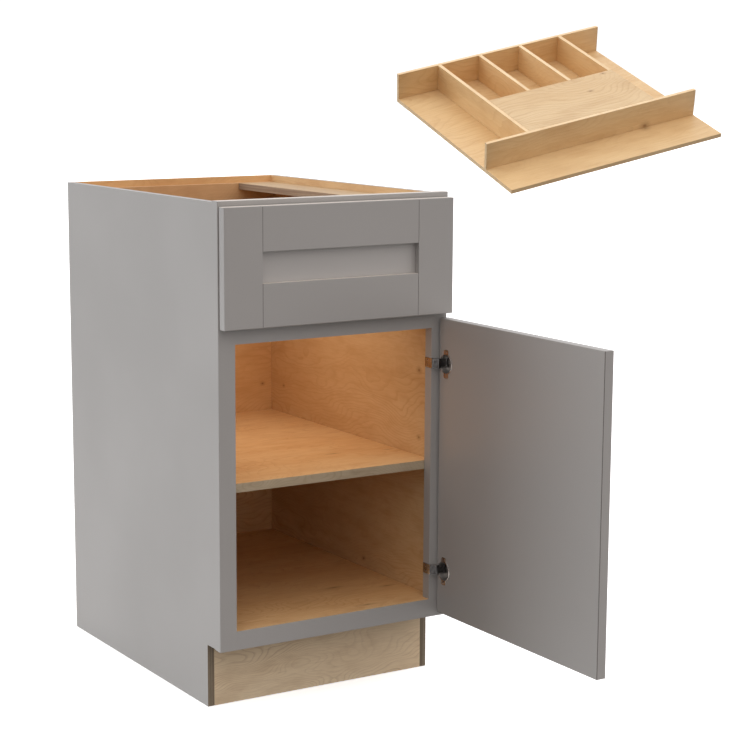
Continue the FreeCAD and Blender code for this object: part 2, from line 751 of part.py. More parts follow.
def ball_cage(label, sign, web, row):
    """A cage with its two rows of balls, which stays half way between the members it parts."""
    ball_place = f"{web} + cage_thick + ball_row_in"
    cage = channel(label, sign, web, f"{ball_place} + ball_wide / 2 + cage_lip", "cage_thick",
                   f"{row} + cage_thick / 2", "cage_start", "cage_long")
    count = int((value("cage_long") - value("ball_pitch")) // value("ball_pitch")) + 1
    run = f"{count - 1} * ball_pitch"
    balls = []
    for level in (-1, 1):
        ball = cage.newObject("PartDesign::AdditiveSphere", "Ball")
        bind(ball, Radius="ball_wide / 2")
        put(ball, signed(-sign, ball_place), f"cage_start + (cage_long - {run}) / 2",
            f"{level} * {row}")
        balls.append(ball)
    doc.recompute()
    rows = cage.newObject("PartDesign::LinearPattern", "BallRows")
    rows.Originals = balls
    along = next(f for f in cage.Origin.OriginFeatures if f.Role == "Y_Axis")
    rows.Direction = (along, [""])
    bind(rows, Length=run)
    rows.Occurrences = count
    cage.Tip = rows


def runners():
    cabinet_screws = []
    for side, sign in SIDES.items():
        batten = plain_board(f"runner_batten_{side}",
                             mirrored(sign, "opening_half", "side_inner"),
                             ("frame_back", "back_face"),
                             ("runner_height - batten_tall / 2",
                              "runner_height + batten_tall / 2"))
        outward = "+x" if sign > 0 else "-x"
        inward = "-x" if sign > 0 else "+x"
        cabinet_member = channel(f"runner_cabinet_member_{side}", sign, "0", "runner_outer_reach",
                                 "runner_sheet", "outer_half", "0", "runner_long")
        channel(f"runner_middle_member_{side}", sign, "middle_web", "runner_middle_reach",
                "runner_sheet", "middle_half", "0", "runner_long")
        drawer_member = channel(f"runner_drawer_member_{side}", sign, "runner_space", "core_tip",
                                "runner_sheet", "core_half", "0", "runner_long")
        ball_cage(f"runner_outer_cage_{side}", sign, "outer_cage_web", "outer_row")
        ball_cage(f"runner_inner_cage_{side}", sign, "inner_cage_web", "inner_row")
        for place in RUNNER_SCREWS:
            bore(batten, "RunnerScrewHole",
                 (signed(sign, "opening_half - cut_overrun"), place, "runner_height"), outward,
                 "screw_wide / 2 + screw_play", "runner_screw_long + cut_overrun + screw_play")
            countersink(cabinet_member, "ScrewSeat",
                        (signed(-sign, "runner_sheet"), f"{place} - runner_front", "0"), outward,
                        "runner_sheet")
            countersink(drawer_member, "ScrewSeat",
                        (signed(-sign, "runner_space - runner_sheet"), f"{place} - runner_front",
                         "0"), inward, "runner_sheet")
            cabinet_screws.append(screw("CabinetRunnerScrew",
                                        (signed(sign, "opening_half - runner_sheet"), place,
                                         "runner_height"), outward, "runner_screw_long",
                                        "runner_sheet"))
    put(group("runner_cabinet_screws", cabinet_screws))


# Insert that lifts out of the drawer

def insert_board(label, x, y, z):
    board = kept(doc.addObject("Part::Box", label))
    spans = dict(zip(("Length", "Width", "Height"), (x, y, z)))
    bind(board, **{prop: f"{high} - ({low})" for prop, (low, high) in spans.items()})
    put(board, f"{x[0]} - insert_wide / 2", f"{y[0]} + insert_front", f"{z[0]} + insert_rest")


def drawer_insert():
    upright = ("insert_base_thick", "insert_tall")
    full = ("0", "insert_long")
    insert_board("insert_base", ("0", "insert_wide"), full, ("0", "insert_base_thick"))
    insert_board("insert_wall_outer", ("0", "insert_wall"), full, upright)
    insert_board("insert_wall_inset", ("insert_wall_inner", "insert_wall_outer"), full, upright)
    places = [f"insert_long * insert_{order}_share" for order in
              ("first", "second", "third", "fourth")]
    first, second, third, fourth = [(place, f"{place} + insert_wall") for place in places]
    insert_board("insert_divider_long", ("insert_wall", "insert_wall_inner"), first, upright)
    for number, place in ((1, second), (2, third)):
        insert_board(f"insert_divider_short_{number}", ("insert_wall", "insert_cell_end"), place,
                     upright)
    insert_board("insert_cross_wall", ("insert_cell_end", "insert_cell_end + insert_wall"),
                 (first[1], fourth[0]), ("insert_base_thick", "insert_panel_under"))
    insert_board("insert_panel", ("insert_cell_end", "insert_wall_inner"),
                 (first[1], fourth[1]), ("insert_panel_under", "insert_tall"))
    end = new_body("insert_divider_end")
    block(end, "Board", ("insert_wall", "insert_wall_inner"), fourth, upright)
    block(end, "PanelNotch", ("insert_cell_end", "insert_wall_inner + cut_overrun"),
          (f"{fourth[0]} - cut_overrun", f"{fourth[1]} + cut_overrun"),
          ("insert_panel_under", "insert_tall + cut_overrun"), cut=True)
    put(end, "-insert_wide / 2", "insert_front", "insert_rest")


def write_parts():
    """Checks every object and every sub-part, then writes one file for each sub-part."""
    doc.recompute()
    failed = [thing.Label for thing in doc.Objects
              if "Invalid" in thing.State or "Error" in thing.State]
    if failed:
        raise RuntimeError("these failed to recompute: " + ", ".join(failed))
    for node in nodes:
        if node.Shape.isNull() or not node.Shape.isValid() or not node.Shape.Solids:
            raise RuntimeError(f"{node.Label} has no sound solid")
    os.makedirs("parts", exist_ok=True)
    for node in nodes:
        node.Shape.exportStep(os.path.join("parts", node.Label + ".step"))
        print(f"{node.Label}: {len(node.Shape.Solids)} solids, {node.Shape.Volume:.0f} mm3")


carcass()
face_frame()
drawer_front()
door()
hinges()
drawer_box()
drawer_fastenings()
runners()
drawer_insert()
write_parts()
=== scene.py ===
import json
import math

import bpy
from mathutils import Matrix, Vector


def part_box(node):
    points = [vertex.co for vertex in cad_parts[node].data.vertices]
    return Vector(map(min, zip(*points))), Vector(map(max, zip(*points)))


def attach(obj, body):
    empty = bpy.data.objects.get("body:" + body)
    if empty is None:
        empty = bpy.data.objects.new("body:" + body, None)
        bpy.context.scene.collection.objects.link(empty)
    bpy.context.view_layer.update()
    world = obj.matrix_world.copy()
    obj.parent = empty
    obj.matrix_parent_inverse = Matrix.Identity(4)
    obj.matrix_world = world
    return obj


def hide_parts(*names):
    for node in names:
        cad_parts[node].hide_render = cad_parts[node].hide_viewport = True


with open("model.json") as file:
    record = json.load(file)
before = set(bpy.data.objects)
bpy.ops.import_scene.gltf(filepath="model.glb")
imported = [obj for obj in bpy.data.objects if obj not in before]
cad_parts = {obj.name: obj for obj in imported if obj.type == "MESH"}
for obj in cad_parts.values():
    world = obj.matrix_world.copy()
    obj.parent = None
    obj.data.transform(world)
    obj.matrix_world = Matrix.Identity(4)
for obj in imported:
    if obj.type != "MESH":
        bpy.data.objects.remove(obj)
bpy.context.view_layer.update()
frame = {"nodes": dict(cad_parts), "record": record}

# Kitchen base cabinet with a face frame, one drawer over one door, and an insert in the drawer.
# Metres. Origin on the floor at the middle of the rear face, +X right, +Y to the wall, +Z up.

cad = frame["nodes"]
body_of = {node: body for body, members in frame["record"]["behaviour"]["bodies"].items()
           for node in members}
SIDES = {"left": -1, "right": 1}


# Finishes: each is a material of nodes that read Object coordinates

def srgb(red, green, blue):
    """A colour read in 8-bit steps, as the linear colour that a shader takes."""
    steps = (red / 255, green / 255, blue / 255)
    linear = [s / 12.92 if s <= 0.04045 else ((s + 0.055) / 1.055) ** 2.4 for s in steps]
    return (*linear, 1)


def add_node(tree, kind, inputs, **settings):
    """Adds a node, with numbers or other nodes' outputs at its inputs; returns its outputs."""
    node = tree.nodes.new("ShaderNode" + kind)
    for name, setting in settings.items():
        setattr(node, name, setting)
    for key, source in inputs.items():
        if isinstance(source, bpy.types.NodeSocket):
            tree.links.new(source, node.inputs[key])
        else:
            node.inputs[key].default_value = source
    return node.outputs


class Finish:
    """A new material and short ways to add nodes to it."""

    def __init__(self, name, **sockets):
        self.material = bpy.data.materials.new(name)
        self.material.use_nodes = True
        self.tree = self.material.node_tree
        self.shader = self.tree.nodes["Principled BSDF"]
        for socket, number in sockets.items():
            self.shader.inputs[socket.replace("_", " ")].default_value = number
        self.place = self.add("TexCoord", {}, output="Object")

    def add(self, kind, inputs, output=0, **settings):
        """Adds a node and returns one of its outputs."""
        return add_node(self.tree, kind, inputs, **settings)[output]

    def math(self, operation, first, second=0.0):
        return self.add("Math", {0: first, 1: second}, operation=operation)

    def noise(self, place, scale, detail=2.0, roughness=0.5):
        return self.add("TexNoise", {"Vector": place, "Scale": scale, "Detail": detail,
                                     "Roughness": roughness})

    def stretch(self, place, scale, shift=(0, 0, 0), turn=(0, 0, 0)):
        return self.add("Mapping", {"Vector": place, "Location": shift, "Rotation": turn,
                                    "Scale": scale})

    def spread(self, source, low, high, to_low=0.0, to_high=1.0):
        """Smoothly carries source from low and high over to to_low and to_high."""
        return self.add("MapRange", {0: source, 1: low, 2: high, 3: to_low, 4: to_high},
                        interpolation_type="SMOOTHSTEP")

    def blend(self, share, first, second):
        return self.add("Mix", {0: share, 6: first, 7: second}, output=2, data_type="RGBA")

    def use(self, socket, source):
        self.tree.links.new(source, self.shader.inputs[socket])

    def bump(self, height, distance):
        self.use("Normal", self.add("Bump", {"Height": height, "Distance": distance,
                                             "Strength": 1.0}))


AXES = "XYZ"

# The middle of a noise, where most of it lies
MIDDLE = (0.3, 0.7)
# Heights of the fine relief of each surface, in metres
GRAIN_RELIEF = 0.00006
EDGE_RELIEF = 0.0002
PAINT_RELIEF = 0.00003
BRUSHED_RELIEF = 0.00001
PLASTIC_RELIEF = 0.00002
PAINT_ROUGHNESS = 0.42

# Noise scales of the marks in wood, along the grain and across it
DRIFT_SCALES = (1.6, 7.0, 7.0)
WANDER_SCALES = (3.6, 8.0, 8.0)
FADE_SCALES = (3.0, 12.0, 12.0)
FADE_SHIFT = (4, 4, 4)
FIBRE_SCALES = (24.0, 380.0, 380.0)
FLECK_SCALES = (26.0, 300.0, 300.0)
PATCH_SCALES = (15.0, 42.0, 42.0)
# How far the rings lean out of line with the board, in radians, and wander, in metres
RING_TILT = (0, 0.14, 0.10)
RING_WANDER = 0.26
# Where in its noise each kind of mark starts and is full, and what the fading leaves of rings
RING_RANGE = (0.55, 1.0)
FADE_RANGE = (0.36, 0.66, 0.25, 1.0)
FIBRE_RANGE = (0.3, 0.8)
FLECK_RANGE = (0.66, 0.8)
PATCH_RANGE = (0.4, 0.75)
# How far each kind of mark takes the tone to the dark one
PATCH_SHARE = 0.36
FIBRE_SHARE = 0.22
FLECK_SHARE = 0.3
# A knot's red, green and blue as shares of the wood's dark tone
KNOT_SHARES = (0.42, 0.28, 0.2)
# Where a knot's halo and its heart start to fade and end, in radii, and how strong each is
KNOT_ZONES = ((0.7, 3.0, 0.3), (0.3, 1.1, 0.7))
# How fine the noise is that makes a knot ragged, and how far it reaches, in radii
KNOT_RAGGED_SCALE = 90.0
KNOT_RAGGED_REACH = 0.8


def wood(name, light, middle, dark, along, heart, knots=(), knot_long=0.75, ring_scale=34,
         ring_share=0.45, roughness=0.42):
    """Clear-coated veneer or board with its grain along an axis.

    The growth rings run round a line through heart along the grain. Each knot is a place and
    a radius, and knot_long counts for its length: the smaller, the longer along the grain."""
    board = Finish(name, Roughness=roughness, Specular_IOR_Level=0.35)
    order = [(AXES.index(along) + step) % 3 for step in range(3)]
    split = add_node(board.tree, "SeparateXYZ", {0: board.place})
    grain = board.add("CombineXYZ", {step: split[axis] for step, axis in enumerate(order)})
    to_heart = [-heart[axis] for axis in order]

    # Slow drift of tone, wider along the grain
    drift = board.noise(board.stretch(grain, DRIFT_SCALES), 1.0, 3.0)
    # Growth rings, cut flat so that they show as long arches, and wandering
    wander = board.add("TexNoise", {"Vector": board.stretch(grain, WANDER_SCALES), "Scale": 1.0,
                                    "Detail": 2.5, "Roughness": 0.5}, output="Color")
    bent = board.add("VectorMath", {
        0: board.stretch(grain, (1, 1, 1), to_heart, RING_TILT),
        1: board.add("VectorMath", {0: wander, 3: RING_WANDER}, operation="SCALE"),
    }, operation="ADD")
    rings = board.add("TexWave", {"Vector": bent, "Scale": ring_scale, "Distortion": 0.0},
                      output="Fac", wave_type="RINGS", rings_direction="X", wave_profile="SAW")
    ring_fade = board.spread(board.noise(board.stretch(grain, FADE_SCALES, FADE_SHIFT), 1.0),
                             *FADE_RANGE)
    # Fine fibres and short darker flecks
    fibre = board.noise(board.stretch(grain, FIBRE_SCALES), 1.0, 3.0, 0.6)
    fleck = board.spread(board.noise(board.stretch(grain, FLECK_SCALES), 1.0, 1.0), *FLECK_RANGE)
    patch = board.spread(board.noise(board.stretch(grain, PATCH_SCALES), 1.0, 3.0, 0.6),
                         *PATCH_RANGE)

    tone = board.blend(board.spread(drift, *MIDDLE), light, middle)
    tone = board.blend(board.math("MULTIPLY", board.math(
        "MULTIPLY", board.spread(rings, *RING_RANGE), ring_fade), ring_share), tone, dark)
    tone = board.blend(board.math("MULTIPLY", patch, PATCH_SHARE), tone, dark)
    tone = board.blend(board.spread(fibre, *FIBRE_RANGE, 0.0, FIBRE_SHARE), tone, dark)
    tone = board.blend(board.math("MULTIPLY", fleck, FLECK_SHARE), tone, dark)
    knot_brown = (*(level * share for level, share in zip(dark, KNOT_SHARES)), 1)
    for place, radius in knots:
        away = board.add("VectorMath", {
            0: board.add("VectorMath", {
                0: board.add("VectorMath", {0: board.place, 1: place}, operation="SUBTRACT"),
                1: [knot_long if axis == along else 1.0 for axis in AXES]}, operation="MULTIPLY"),
            1: board.add("VectorMath", {
                0: board.add("TexNoise", {"Vector": board.place, "Scale": KNOT_RAGGED_SCALE},
                             output="Color"),
                3: radius * KNOT_RAGGED_REACH}, operation="SCALE"),
        }, operation="SUBTRACT")
        apart = board.add("VectorMath", {0: away}, output="Value", operation="LENGTH")
        for start, end, strength in KNOT_ZONES:
            tone = board.blend(
                board.spread(apart, radius * start, radius * end, strength, 0.0), tone,
                knot_brown)
    board.use("Base Color", tone)
    board.use("Roughness", board.spread(fibre, 0.2, 0.8, roughness - 0.05, roughness + 0.1))
    board.bump(board.math("ADD", fibre, board.math("MULTIPLY", rings, 0.2)),
               GRAIN_RELIEF)
    return board.material


def board_edge(name, light, dark, across):
    """The raw edge of a panel: thin layers stacked across its thickness."""
    edge = Finish(name, Roughness=0.62, Specular_IOR_Level=0.25)
    layers = edge.noise(edge.stretch(edge.place, [900.0 if axis == across else 6.0
                                                  for axis in AXES]), 1.0, 1.0)
    specks = edge.noise(edge.stretch(edge.place, (160.0, 160.0, 160.0)), 1.0, 3.0, 0.7)
    tone = edge.blend(edge.spread(layers, 0.35, 0.65), light, dark)
    tone = edge.blend(edge.spread(specks, 0.4, 0.9, 0.0, 0.5), tone, dark)
    edge.use("Base Color", tone)
    edge.bump(specks, EDGE_RELIEF)
    return edge.material


def paint(name, light, dark):
    """Sprayed satin paint: a trace of orange peel and of uneven tone."""
    coat = Finish(name, Roughness=PAINT_ROUGHNESS, Specular_IOR_Level=0.4)
    drift = coat.noise(coat.stretch(coat.place, (3.0, 3.0, 3.0)), 1.0, 3.0)
    dust = coat.noise(coat.place, 900.0, 2.0)
    coat.use("Base Color", coat.blend(coat.spread(drift, *MIDDLE), light, dark))
    coat.use("Roughness", coat.spread(drift, *MIDDLE, PAINT_ROUGHNESS - 0.04,
                                      PAINT_ROUGHNESS + 0.05))
    coat.bump(coat.math("ADD", coat.noise(coat.place, 260.0, 2.0),
                        coat.math("MULTIPLY", dust, 0.3)), PAINT_RELIEF)
    return coat.material


def steel(name, light, dark, roughness, brush, metallic=1.0):
    """Plated steel with fine marks stretched along an axis, and slightly clouded plating."""
    plate = Finish(name, Metallic=metallic, Roughness=roughness)
    marks = plate.noise(plate.stretch(plate.place, [60.0 if axis == brush else 2400.0
                                                    for axis in AXES]), 1.0, 2.0)
    cloud = plate.noise(plate.place, 70.0, 3.0)
    plate.use("Base Color", plate.blend(plate.spread(cloud, *MIDDLE), light, dark))
    plate.use("Roughness", plate.spread(plate.math("ADD", marks, cloud), 0.7, 1.3,
                                        roughness - 0.04, roughness + 0.05))
    plate.bump(marks, BRUSHED_RELIEF)
    return plate.material


def soft_plastic(name, tint):
    gel = Finish(name, Roughness=0.3, Transmission_Weight=0.5, IOR=1.45)
    cloud = gel.noise(gel.place, 500.0, 2.0)
    gel.use("Base Color", gel.blend(gel.spread(cloud, *MIDDLE, 0.0, 0.4), tint,
                                    srgb(200, 200, 196)))
    gel.bump(cloud, PLASTIC_RELIEF)
    return gel.material


# The light, middle and dark tones of each kind of wood
INSIDE = dict(light=srgb(232, 193, 141), middle=srgb(222, 177, 122), dark=srgb(196, 142, 88))
# Shelf and floor: the inside maple made lighter, painted light on these upward faces
FLAT_WITH_PAINTED_LIGHT = dict(light=srgb(240, 201, 148), middle=srgb(231, 186, 130), dark=srgb(205, 150, 94))
TOP = dict(light=srgb(224, 183, 137), middle=srgb(213, 168, 121), dark=srgb(190, 141, 96))
PALE = dict(light=srgb(224, 196, 152), middle=srgb(215, 182, 134), dark=srgb(188, 148, 100))
STRETCHER = dict(light=srgb(192, 161, 117), middle=srgb(183, 149, 104), dark=srgb(161, 124, 80))
# Insert base and walls: warmer than the panel's pale maple, painted light bounced between the
# walls
INSERT_WITH_PAINTED_BOUNCE = dict(light=srgb(234, 203, 154), middle=srgb(227, 190, 137), dark=srgb(201, 157, 104))
SIDE = dict(light=srgb(224, 191, 144), middle=srgb(213, 175, 126), dark=srgb(188, 140, 92))
# The toe board's tones are partly its own pale wood and partly painted light, raised for light
# bounced up from the floor
TOE_WITH_PAINTED_LIGHT = dict(light=srgb(250, 229, 194), middle=srgb(242, 217, 180), dark=srgb(196, 162, 122))

SHELF_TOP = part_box("shelf")[1].z
FLOOR_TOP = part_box("cabinet_floor")[1].z
SIDE_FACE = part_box("side_panel_right")[0].x
BACK_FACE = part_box("back_panel")[0].y
INSERT_PANEL_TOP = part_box("insert_panel")[1].z
INSERT_WALL_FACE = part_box("insert_wall_inset")[1].x

grey_paint = paint("grey_painted_wood", srgb(171, 168, 165), srgb(168, 165, 162))
# The drawer front's sunk panel: the same grey paint made lighter, painted light against the shade
# of its recess
panel_paint_with_painted_light = paint("grey_painted_panel", srgb(185, 182, 179), srgb(182, 179, 176))
maple_back = wood("maple_back", **INSIDE, along="X", heart=(0.05, 0.10, 0.62),
                  knots=[((0.1918, BACK_FACE, 0.4497), 0.0024)])
# A lighter copy of the inside maple, painted light on the shelf and floor
maple_flat_with_painted_light = wood("maple_flat_with_painted_light", **FLAT_WITH_PAINTED_LIGHT, along="X", heart=(0.1, -0.35, 0.20), knot_long=0.25,
                  knots=[((0.0838, -0.4588, SHELF_TOP), 0.0022),
                         ((0.1929, -0.4759, SHELF_TOP), 0.0018),
                         ((0.0847, -0.4583, FLOOR_TOP), 0.0026),
                         ((0.1762, -0.4964, FLOOR_TOP), 0.0022),
                         ((0.0773, -0.5837, FLOOR_TOP), 0.0026)])
maple_side = wood("maple_side", **SIDE, along="Y", heart=(0.33, -0.40, 0.72), ring_share=0.42,
                  knots=[((SIDE_FACE, -0.0586, 0.4513), 0.0022),
                         ((SIDE_FACE, -0.5482, 0.5507), 0.0034),
                         ((SIDE_FACE, -0.5487, 0.4279), 0.0028),
                         ((SIDE_FACE, -0.3644, 0.1603), 0.0028)])
maple_rail = wood("maple_rail", **TOP, along="X", heart=(0.05, 0.10, 0.70))
maple_deep = wood("maple_deep", **STRETCHER, along="Y", heart=(0.17, -0.3, 0.80))
# Raised tones on the toe board: painted light bounced from the floor
toe_wood_with_painted_light = wood("toe_wood_with_painted_light", **TOE_WITH_PAINTED_LIGHT, along="X", heart=(-0.08, -0.50, 0.03), ring_scale=52,
                ring_share=0.55, roughness=0.55)
pale_across = wood("pale_across", **PALE, along="X", heart=(0.0, -0.30, 0.62))
pale_deep = wood("pale_deep", **PALE, along="Y", heart=(-0.04, -0.3, 0.60),
                 knots=[((0.0258, -0.3546, INSERT_PANEL_TOP), 0.0022),
                        ((-0.017, -0.3044, INSERT_PANEL_TOP), 0.002)])
# Insert maple, warmer than the panel's: painted light bounced between the insert's walls
insert_across_with_painted_bounce = wood("insert_maple_across", **INSERT_WITH_PAINTED_BOUNCE, along="X", heart=(0.0, -0.30, 0.62),
                     ring_share=0.3)
insert_deep_with_painted_bounce = wood("insert_maple_deep", **INSERT_WITH_PAINTED_BOUNCE, along="Y", heart=(-0.04, -0.3, 0.60),
                   ring_share=0.3, knots=[((INSERT_WALL_FACE, -0.3045, 0.715), 0.0036)])
# The insert walls' top faces: a lighter maple, a painted highlight for light from above
insert_top_with_painted_highlight = wood("insert_maple_top_edges", srgb(246, 220, 178), srgb(240, 209, 163),
                  srgb(216, 178, 130), along="X", heart=(0.0, -0.3, 0.6), ring_share=0.2)
# Top faces of the frame and the drawer front: the grey paint made lighter, a painted highlight for
# light from above
painted_highlight_on_tops = paint("grey_paint_thin_on_edges", srgb(212, 204, 194), srgb(204, 196, 186))
# Joint grooves of the drawer front and arrises of the door: the grey paint made darker, a painted
# shadow
painted_shade_paint = paint("grey_paint_as_painted_shade", srgb(112, 108, 104), srgb(106, 102, 98))
raw_edge = board_edge("raw_edge", srgb(148, 133, 112), srgb(116, 102, 84), "X")
stretcher_edge = board_edge("stretcher_edge", srgb(168, 146, 124), srgb(140, 118, 99), "Z")
shelf_edge = wood("shelf_edge", srgb(196, 178, 150), srgb(182, 162, 132), srgb(156, 135, 106),
                  along="X", heart=(0, -0.7, 0.3), ring_scale=60, roughness=0.5)
nickel = steel("nickel_plated_steel", (0.50, 0.47, 0.44, 1), (0.36, 0.33, 0.31, 1), 0.26, "Z")
# Dark nickel for the pins and latches; on the hinge arms' forward faces it is a painted dark
# reflection
dark_nickel_and_painted_reflection = steel("dark_nickel_and_painted_reflection", (0.10, 0.096, 0.093, 1), (0.055, 0.052, 0.051, 1), 0.34, "Z")
cup_nickel = steel("satin_nickel_in_cups", (0.46, 0.445, 0.43, 1), (0.27, 0.26, 0.25, 1), 0.32,
                   "Z", metallic=0.7)
zinc = steel("zinc_plated_steel", (0.45, 0.46, 0.48, 1), (0.36, 0.37, 0.39, 1), 0.34, "Y")
clear_plastic = soft_plastic("clear_soft_plastic", srgb(225, 226, 222))


# Shaping

MERGE = 1e-6
# How squarely a face looks along an axis, and how far a slanting one leans to it
SQUARE = 0.9
LEANING = 0.2
# Angles in degrees between two faces: taken as flat below the first, as a sharp edge above the
# second, and shaded smooth below the third on a CAD piece and below the fourth on a new one
FLAT_BELOW = 0.5
SHARP_ABOVE = 50
SMOOTH_BELOW = 40
SMOOTH_BELOW_NEW = 35
SHORTEST_EDGE = 0.004


def take_none():
    bpy.ops.object.select_all(action="DESELECT")


def take(*pieces):
    """Selects these objects and no others."""
    take_none()
    for piece in pieces:
        piece.select_set(True)
    bpy.context.view_layer.objects.active = pieces[0]


def pick_faces(piece, passes):
    """Leaves only the faces that pass a test of centre, normal and area selected, in edit mode."""
    bpy.ops.object.mode_set(mode="EDIT")
    bpy.ops.mesh.select_mode(type="FACE")
    bpy.ops.mesh.select_all(action="DESELECT")
    bpy.ops.object.mode_set(mode="OBJECT")
    for face in piece.data.polygons:
        face.select = passes(face.center, face.normal, face.area)
    bpy.ops.object.mode_set(mode="EDIT")


def press(steps):
    """Presses a panel into the selected faces. Each step is a margin and how far it moves out."""
    for margin, outward in steps:
        bpy.ops.mesh.inset(thickness=margin, depth=outward)


def settle(piece, finish, body, replaced=()):
    """Puts a finished piece's place into its mesh, and gives it its finish and its body."""
    take(piece)
    bpy.ops.object.transform_apply(location=True, rotation=True, scale=True)
    bpy.ops.object.mode_set(mode="EDIT")
    bpy.ops.mesh.select_all(action="SELECT")
    bpy.ops.mesh.normals_make_consistent(inside=False)
    bpy.ops.object.mode_set(mode="OBJECT")
    bpy.ops.object.shade_smooth_by_angle(angle=math.radians(SMOOTH_BELOW_NEW))
    piece.data.materials.clear()
    piece.data.materials.append(finish)
    if replaced:
        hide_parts(*replaced)
    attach(piece, body)
    take_none()
    return piece


def eased(node, width, finish, faces=(), shortest=SHORTEST_EDGE, spare=None):
    """A copy of a board with its long sharp edges rounded over, which stands for the node.

    faces pairs a test of a face's centre and normal with the finish of the faces that pass.
    Edges no longer than shortest stay sharp, and so do those whose two ends pass spare."""
    piece = bpy.data.objects.new(node + "_eased", cad[node].data.copy())
    bpy.context.scene.collection.objects.link(piece)
    take(piece)
    bpy.ops.mesh.customdata_custom_splitnormals_clear()
    bpy.ops.object.mode_set(mode="EDIT")
    bpy.ops.mesh.select_all(action="SELECT")
    bpy.ops.mesh.remove_doubles(threshold=MERGE)
    bpy.ops.mesh.dissolve_limited(angle_limit=math.radians(FLAT_BELOW))
    bpy.ops.mesh.select_mode(type="EDGE")
    bpy.ops.mesh.select_all(action="DESELECT")
    bpy.ops.mesh.edges_select_sharp(sharpness=math.radians(SHARP_ABOVE))
    bpy.ops.object.mode_set(mode="OBJECT")
    sharp = [edge.index for edge in piece.data.edges if edge.select]
    bpy.ops.object.mode_set(mode="EDIT")
    bpy.ops.mesh.select_all(action="DESELECT")
    bpy.ops.object.mode_set(mode="OBJECT")
    for edge in (piece.data.edges[index] for index in sharp):
        ends = [piece.data.vertices[corner].co for corner in edge.vertices]
        edge.select = ((ends[0] - ends[1]).length > shortest
                       and not (spare and spare(ends)))
    bpy.ops.object.mode_set(mode="EDIT")
    bpy.ops.mesh.bevel(offset=width, segments=2, affect="EDGES")
    bpy.ops.object.mode_set(mode="OBJECT")
    bpy.ops.object.shade_smooth_by_angle(angle=math.radians(SMOOTH_BELOW))
    piece.modifiers.new("Flat faces", "WEIGHTED_NORMAL").keep_sharp = True
    bpy.ops.object.modifier_apply(modifier="Flat faces")
    piece.data.materials.clear()
    piece.data.materials.append(finish)
    for number, (passes, other) in enumerate(faces, 1):
        piece.data.materials.append(other)
        for face in piece.data.polygons:
            if passes(face.center, face.normal):
                face.material_index = number
    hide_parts(node)
    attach(piece, body_of[node])
    return piece


def plain(nodes, finish):
    """Gives CAD nodes that keep their own mesh a finish."""
    for node in nodes:
        cad[node].data.materials.clear()
        cad[node].data.materials.append(finish)


# Carcass

BOARD_EDGE = 0.0005
SIDE_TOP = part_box("side_panel_right")[1].z
TOP_BAND = 0.005

for side, sign in SIDES.items():
    # Veneered inside, painted outside and along the top, and raw on its other edges
    eased(f"side_panel_{side}", BOARD_EDGE, grey_paint, [
        (lambda at, out, sign=sign: out.x * sign < -SQUARE, maple_side),
        (lambda at, out: abs(out.x) < SQUARE and at.z < SIDE_TOP - TOP_BAND, raw_edge)])
    eased(f"side_stretcher_{side}", BOARD_EDGE, maple_deep,
          [(lambda at, out: abs(out.x) > SQUARE, stretcher_edge)])
    plain([f"runner_batten_{side}"], maple_deep)
eased("back_panel", BOARD_EDGE, maple_back)
eased("rear_top_rail", BOARD_EDGE, maple_rail)
eased("cabinet_floor", BOARD_EDGE, maple_flat_with_painted_light)
eased("shelf", BOARD_EDGE, maple_flat_with_painted_light, [(lambda at, out: abs(out.y) > SQUARE, shelf_edge)])
eased("toe_board", BOARD_EDGE, toe_wood_with_painted_light)


# Face frame, drawer front and door

FRAME_EDGE = 0.0002
FRONT_EDGE = 0.0011
DRAWER_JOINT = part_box("drawer_front_stile_right")[0].x
DOOR_INNER_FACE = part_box("door_panel")[0].x
DOOR_LOW, DOOR_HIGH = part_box("door_stile_free")[0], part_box("door_stile_hinge")[1]


def joint_on_inner_face(ends):
    """Whether an edge meets the door's inner face but isn't on the door's outline."""
    outline = any(all(abs(end[axis] - corner[axis]) < BOARD_EDGE for end in ends)
                  for corner in (DOOR_LOW, DOOR_HIGH) for axis in (1, 2))
    return not outline and any(abs(end.x - DOOR_INNER_FACE) < BOARD_EDGE for end in ends)


def nodes_of(start):
    return [node for node in cad if node.startswith(start)]


# The frame's top faces get a painted highlight, except the bottom rail's, which shows maple
for node in nodes_of("frame_"):
    eased(node, FRAME_EDGE, grey_paint, [
        (lambda at, out: out.z > SQUARE,
         maple_flat_with_painted_light if node == "frame_rail_bottom" else painted_highlight_on_tops)])
# The drawer front has painted shade along the joints of its stiles, and a painted highlight on its
# top faces
for node in nodes_of("drawer_front_"):
    eased(node, FRONT_EDGE, panel_paint_with_painted_light if node.endswith("panel") else grey_paint, [
        (lambda at, out: abs(out.x) > LEANING and out.y < -LEANING
         and abs(abs(at.x) - DRAWER_JOINT) < 2 * FRONT_EDGE, painted_shade_paint),
        (lambda at, out: out.z > SQUARE, painted_highlight_on_tops)])
# The arrises round the door's inner face get painted shade at its free end and at its foot
for node in nodes_of("door_"):
    eased(node, FRONT_EDGE, grey_paint, [
        (lambda at, out: out.x < -LEANING and min(out.y, out.z) < -LEANING, painted_shade_paint)],
        spare=joint_on_inner_face)


# Hinges: pressed steel, eased, with a sunk panel in the arm and a ring round the cup

STEEL_EDGE = 0.00025
ARM_SHORTEST_EDGE = 0.0015
